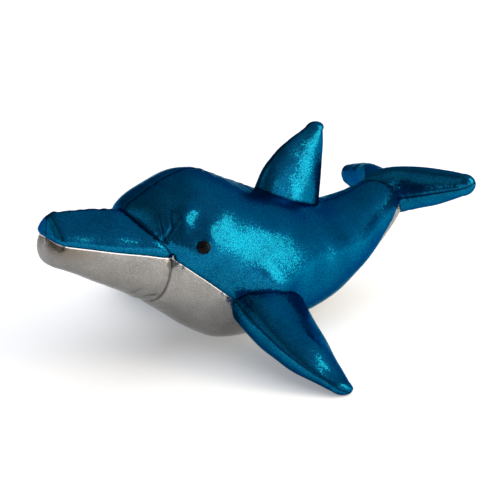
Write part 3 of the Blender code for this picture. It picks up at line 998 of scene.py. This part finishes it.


# The darkening colour serves both wear and painted shade, the edge colour is a painted highlight, and the
# two tip shares paint a darker and a brown reflection on the beak.
FOILS = {
    "blue_foil": foil_cloth("blue_foil", Foil(
        knit=(0.001, 0.055, 0.180), flake=(0.004, 0.185, 0.290), flake_share=0.45,
        knit_rough=0.36, flake_rough=0.13, lean=0.12, shade=(0.001, 0.015, 0.052),
        rim=(0.0, 0.35, 0.50), edge=(0.001, 0.030, 0.100), rubbed=0.0, brown=0.0,
    )),
    "silver_foil": foil_cloth("silver_foil", Foil(
        knit=(0.245, 0.240, 0.232), flake=(0.405, 0.391, 0.368), flake_share=0.40,
        knit_rough=0.24, flake_rough=0.17, lean=0.09, shade=(0.080, 0.076, 0.070),
        rim=(0.8, 0.8, 0.8), edge=(0.880, 0.860, 0.830), rubbed=0.32, brown=0.704,
    )),
}
print("foil cloth materials:", *FOILS)

# %% [markdown]
# ## Cut the panels of the body
#
# The net is cut along its seams into the panels that the toy is sewn from: two on top of the
# beak, one under it, two on the sides and one along the belly. Each panel is its own piece, as it
# is in the frame, and stands for its node there. All seams meet at the nose, where distances
# from them are stretched to keep each seam thin.

# %% Sew the beak and the body
CLOSING_GIRTH = 0.08
CLOSED_SHARE = 0.01

last_row = len(net) - 1
end_gap = along_body[-1:] - along_body
closing = np.clip(girth_length / CLOSING_GIRTH, CLOSED_SHARE, 1)
# Distances to seams, folds and the body's open end, where the cloth gets a painted shade.
silver_seams = np.minimum(np.minimum(face_gap, fold_gap), end_gap)
blue_seams = np.minimum(np.minimum(ridge_gap, belly_gap) / closing, silver_seams)
no_edge = np.full(net.shape[:2], FAR)
# Silver gets its distance to the blue, for the painted edge highlight and the painted brown tip
# reflection; blue gets none.
GAPS = {"silver_foil": (silver_seams, belly_gap / closing), "blue_foil": (blue_seams, no_edge)}
facing = body_outward(net)

LEFT = (0, LEFT_SEAM)
UNDER = (LEFT_SEAM, RIGHT_SEAM)
RIGHT = (RIGHT_SEAM, net.shape[1])
ON_BEAK = (0, FACE_ROW)
ON_BODY = (FACE_ROW, last_row)
PANELS = (
    ("beak_cloth_left", LEFT, ON_BEAK, "blue_foil", "beak_top_left"),
    ("beak_cloth_right", RIGHT, ON_BEAK, "blue_foil", "beak_top_right"),
    ("beak_cloth_under", UNDER, ON_BEAK, "silver_foil", "beak_under"),
    ("side_cloth_left", LEFT, ON_BODY, "blue_foil", "side_panel_left"),
    ("side_cloth_right", RIGHT, ON_BODY, "blue_foil", "side_panel_right"),
    ("belly_cloth", UNDER, ON_BODY, "silver_foil", "belly_panel"),
)
for name, columns, rows, slot, stands_for in PANELS:
    bm = cloth(net, facing, *GAPS[slot], columns, rows)
    piece(name, bm, FOILS[slot], stands_for)

# %% [markdown]
# ## Cut the panels of the fins
#
# Each fin has two panels. What lies well inside the body is cut away, as it is on the toy, where
# a fin ends at its own hem.

# %% Sew the fins
HEM = 0.005


def fin_panels(name, first, second):
    """The two panels of a fin, each named by its side of it."""
    rows = nets[name]
    # Distances to the fin's seams and to the body at its root, where the cloth gets a painted shade.
    seams = np.minimum(gap_to_edge(*round_loops(rows)), np.maximum(heights[name], 0))
    no_edge = np.full(rows.shape[:2], FAR)
    for half, columns in ((first, (0, FIN_COLUMNS)), (second, (FIN_COLUMNS, 2 * FIN_COLUMNS))):
        bm = cloth(rows, outward(rows), seams, no_edge, columns)
        hidden = [
            face for face in bm.faces
            if all(over_body(vert.co) < -HEM for vert in face.verts)
        ]
        bmesh.ops.delete(bm, geom=hidden, context="FACES")
        made = piece(f"{name}_cloth_{half}", bm, FOILS["blue_foil"], f"{name}_{half}")


fin_panels("dorsal_fin", "left", "right")
fin_panels("pectoral_left", "upper", "lower")
fin_panels("pectoral_right", "upper", "lower")
fin_panels("fluke", "upper", "lower")

# %% [markdown]
# ## Stuffing
#
# Loose polyester fill keeps the toy in shape. It can't be seen on a toy whose seams hold, but it
# is there: a softer, smaller copy of each form, a few millimetres inside the cloth. The body's
# starts behind the rows that close the nose, which are nearly flat and leave no room inside.

# %% Fill the forms
FILL_DEPTH = 0.004
EVERY = 4
MOST_INWARDS = 0.5
LEAST_ROOM = 1e-6


def stuffing_material():
    made, tree, shader = new_material("stuffing")
    fibres = noise(tree, 160.0, detail=6.0)
    bump = node(tree, "ShaderNodeBump", {"Distance": 0.001, "Height": fibres})
    colour = mix_colour(tree, fibres, (0.62, 0.62, 0.60), (0.86, 0.86, 0.84))
    feed(tree, colour, shader.inputs["Base Color"])
    feed(tree, bump.outputs["Normal"], shader.inputs["Normal"])
    feed(tree, 0.95, shader.inputs["Roughness"])
    return made


stuffing = stuffing_material()


def fill(name, rows, stands_for):
    """A closed, coarser copy of a net, drawn in from the cloth."""
    inwards = rows.mean(axis=1, keepdims=True) - rows
    room = np.linalg.norm(inwards, axis=-1, keepdims=True)
    inner = rows + inwards * np.minimum(MOST_INWARDS, FILL_DEPTH / np.maximum(room, LEAST_ROOM))
    inner = inner[EVERY:-EVERY:EVERY, ::EVERY]
    count, around = inner.shape[:2]
    bm = bmesh.new()
    bmesh.ops.create_grid(bm, x_segments=around, y_segments=count - 1, size=1.0)
    for vert in bm.verts:
        column = round((vert.co.x + 1) / 2 * around) % around
        vert.co = inner[round((vert.co.y + 1) / 2 * (count - 1)), column]
    bmesh.ops.remove_doubles(bm, verts=bm.verts[:], dist=1e-6)
    bmesh.ops.holes_fill(bm, edges=[e for e in bm.edges if e.is_boundary], sides=0)
    bmesh.ops.recalc_face_normals(bm, faces=bm.faces)
    for face in bm.faces:
        face.smooth = True
    piece(name, bm, stuffing, stands_for)


fill("body_fill", net[NOSE_ROWS:], "body_stuffing")
for name in FIN_ROOTS:
    fill(f"{name}_fill", nets[name], f"{name}_stuffing")

# %% [markdown]
# ## Eyes
#
# A safety eye is a glossy black dome with a stem. The solid one has few sides, and a gloss this
# sharp would show them, so the dome is turned again with many. Its rim goes a little below the
# cloth, which closes round it. The room is far paler than the eye, so a low specular level
# keeps the dome black.

# %% Turn the eyes
EYE_RADIUS = 0.0063
EYE_DOME = 0.0042
EYE_RIM = 0.0022
RIM_SHARE = 0.96
EYE_SIDES = 64
EYE_STEPS = 14


def eye_material():
    made, tree, shader = new_material("eye_gloss")
    haze = ranged(tree, noise(tree, 120.0), 0.3, 0.7, 0.01, 0.03)
    feed(tree, haze, shader.inputs["Roughness"])
    feed(tree, (0.003, 0.003, 0.004), shader.inputs["Base Color"])
    feed(tree, 0.06, shader.inputs["Specular IOR Level"])
    return made


eye_gloss = eye_material()


def turn_eye(side):
    spot, normal, _, _ = body_tree.find_nearest(eye_middles[side])
    normal = normal * BODY_OUTSIDE
    place = Matrix.Translation(spot) @ normal.to_track_quat("Z", "Y").to_matrix().to_4x4()
    bm = bmesh.new()
    outline = [bm.verts.new((0.0, 0.0, EYE_DOME))]
    for i in range(1, EYE_STEPS + 1):
        turn = math.pi / 2 * i / EYE_STEPS
        outline.append(bm.verts.new((EYE_RADIUS * math.sin(turn), 0.0, EYE_DOME * math.cos(turn))))
    outline.append(bm.verts.new((EYE_RADIUS * RIM_SHARE, 0.0, -EYE_RIM)))
    outline.append(bm.verts.new((0.0, 0.0, -EYE_RIM)))
    edges = [bm.edges.new(pair) for pair in zip(outline, outline[1:])]
    bmesh.ops.spin(
        bm, geom=outline + edges, cent=(0, 0, 0), axis=(0, 0, 1),
        angle=math.tau, steps=EYE_SIDES, use_merge=True,
    )
    bmesh.ops.remove_doubles(bm, verts=bm.verts[:], dist=1e-6)
    bmesh.ops.transform(bm, matrix=place, verts=bm.verts[:])
    bmesh.ops.recalc_face_normals(bm, faces=bm.faces)
    for face in bm.faces:
        face.smooth = True
    piece(f"bead_eye_{side}", bm, eye_gloss, f"eye_{side}")


for side in ("left", "right"):
    turn_eye(side)

# %% [markdown]
# ## Washers
#
# The washers inside the head keep their shape from the frame and only get a plastic.

# %% Finish the washers
washer_plastic, tree, shader = new_material("washer_plastic")
feed(tree, (0.60, 0.60, 0.58), shader.inputs["Base Color"])
feed(tree, ranged(tree, noise(tree, 300.0), 0.3, 0.7, 0.35, 0.5), shader.inputs["Roughness"])
for side in ("left", "right"):
    washer = frame["nodes"][f"eye_washer_{side}"]
    washer.data.materials.clear()
    washer.data.materials.append(washer_plastic)
print("washers finished")

# %% [markdown]
# ## The floor
#
# A wide, pale, matt floor. A share of its white is its own glow, for the camera and for what
# foil or glass would show, so that it looks white without more lamp light on the toy. The rest is
# lit, so that it keeps the shadow.

# %% Lay the floor
FLOOR_RADIUS = 12.0
FLOOR_GLOW = 0.26

bm = bmesh.new()
bmesh.ops.create_circle(bm, cap_ends=True, segments=64, radius=FLOOR_RADIUS)
floor_mesh = bpy.data.meshes.new("floor")
bm.to_mesh(floor_mesh)
bm.free()
floor = bpy.data.objects.new("floor", floor_mesh)
bpy.context.scene.collection.objects.link(floor)
floor_paint, tree, shader = new_material("floor")
path = node(tree, "ShaderNodeLightPath").outputs
seen = math_node(tree, "MAXIMUM", path["Is Camera Ray"], path["Is Glossy Ray"])
seen = math_node(tree, "MAXIMUM", seen, path["Is Transmission Ray"])
feed(tree, (0.80, 0.80, 0.80), shader.inputs["Base Color"])
feed(tree, 0.9, shader.inputs["Roughness"])
feed(tree, 0.0, shader.inputs["Specular IOR Level"])
feed(tree, (1.0, 1.0, 1.0), shader.inputs["Emission Color"])
feed(tree, math_node(tree, "MULTIPLY", seen, FLOOR_GLOW), shader.inputs["Emission Strength"])
floor_mesh.materials.append(floor_paint)
print("floor laid")

# %% [markdown]
# ## The light
#
# One large soft lamp stands to the camera's right, as a window would. Its image in the foil is the
# bright patch on the flank. A weaker one stands for a bright wall on the toy's left, which shows
# in the lower cloth. An even light from above makes the floor bright and keeps the shadow soft,
# and the foil doesn't show it. The room is dim ahead of the toy and lighter behind its tail, with
# one pale patch high up ahead. The dark forehead and back reflect the dim part. Only the camera
# sees a white room.

# %% Light the scene
LAMP_TARGET = Vector((0.0, 0.0, 0.10))


def strip_lamp(name, upper, lower, width, watts, colour):
    """A rectangular lamp from one end to the other, facing the toy."""
    upper, lower = Vector(upper), Vector(lower)
    middle = (upper + lower) / 2
    long_way = (upper - lower).normalized()
    back = middle - LAMP_TARGET
    back = (back - long_way * back.dot(long_way)).normalized()
    data = bpy.data.lights.new(name, "AREA")
    data.shape = "RECTANGLE"
    data.size = (upper - lower).length
    data.size_y = width
    data.energy = watts
    data.color = colour
    lamp = bpy.data.objects.new(name, data)
    bpy.context.scene.collection.objects.link(lamp)
    turn = Matrix((long_way, back.cross(long_way), back)).transposed()
    lamp.matrix_world = Matrix.Translation(middle) @ turn.to_4x4()


strip_lamp(
    "window", upper=(0.598, -0.729, 1.018), lower=(0.828, -1.010, 0.020),
    width=0.58, watts=10.4, colour=(1.0, 0.85, 0.57),
)
strip_lamp(
    "bright_wall", upper=(0.040, -1.550, 0.600), lower=(0.047, -1.795, 0.062),
    width=0.77, watts=1.9, colour=(1.0, 0.94, 0.86),
)
sky = bpy.data.lights.new("ceiling_light", "SUN")
sky.energy = 2.2
sky.angle = math.radians(100)
sky_lamp = bpy.data.objects.new("ceiling_light", sky)
bpy.context.scene.collection.objects.link(sky_lamp)
sky_lamp.rotation_euler = (math.radians(8), math.radians(14), 0)
sky_lamp.visible_glossy = False

world = bpy.data.worlds.new("room")
bpy.context.scene.world = world
world.use_nodes = True
tree = world.node_tree
background = tree.nodes["Background"]
direction = node(tree, "ShaderNodeTexCoord").outputs["Generated"]


def leaning(way, low, high):
    """Where in the room a direction leans towards a way, from 0 at low to 1 at high."""
    lean = vector_node(tree, "DOT_PRODUCT", {0: direction, 1: way}).outputs["Value"]
    return ranged(tree, lean, low, high)


to_the_tail = leaning((0.94, -0.34, 0.0), -0.3, 0.7)
room = mix_colour(tree, to_the_tail, (0.18, 0.18, 0.19), (0.52, 0.56, 0.68))
high_ahead = leaning((-0.84, 0.15, 0.52), 0.78, 0.97)
room = mix_colour(tree, high_ahead, room, (0.50, 0.52, 0.55))
camera_ray = node(tree, "ShaderNodeLightPath").outputs["Is Camera Ray"]
room = mix_colour(tree, camera_ray, room, (1.0, 1.0, 1.0))
feed(tree, room, background.inputs["Color"])
feed(tree, 1.0, background.inputs["Strength"])

bpy.context.scene.view_settings.view_transform = "Standard"
print("lamps placed")
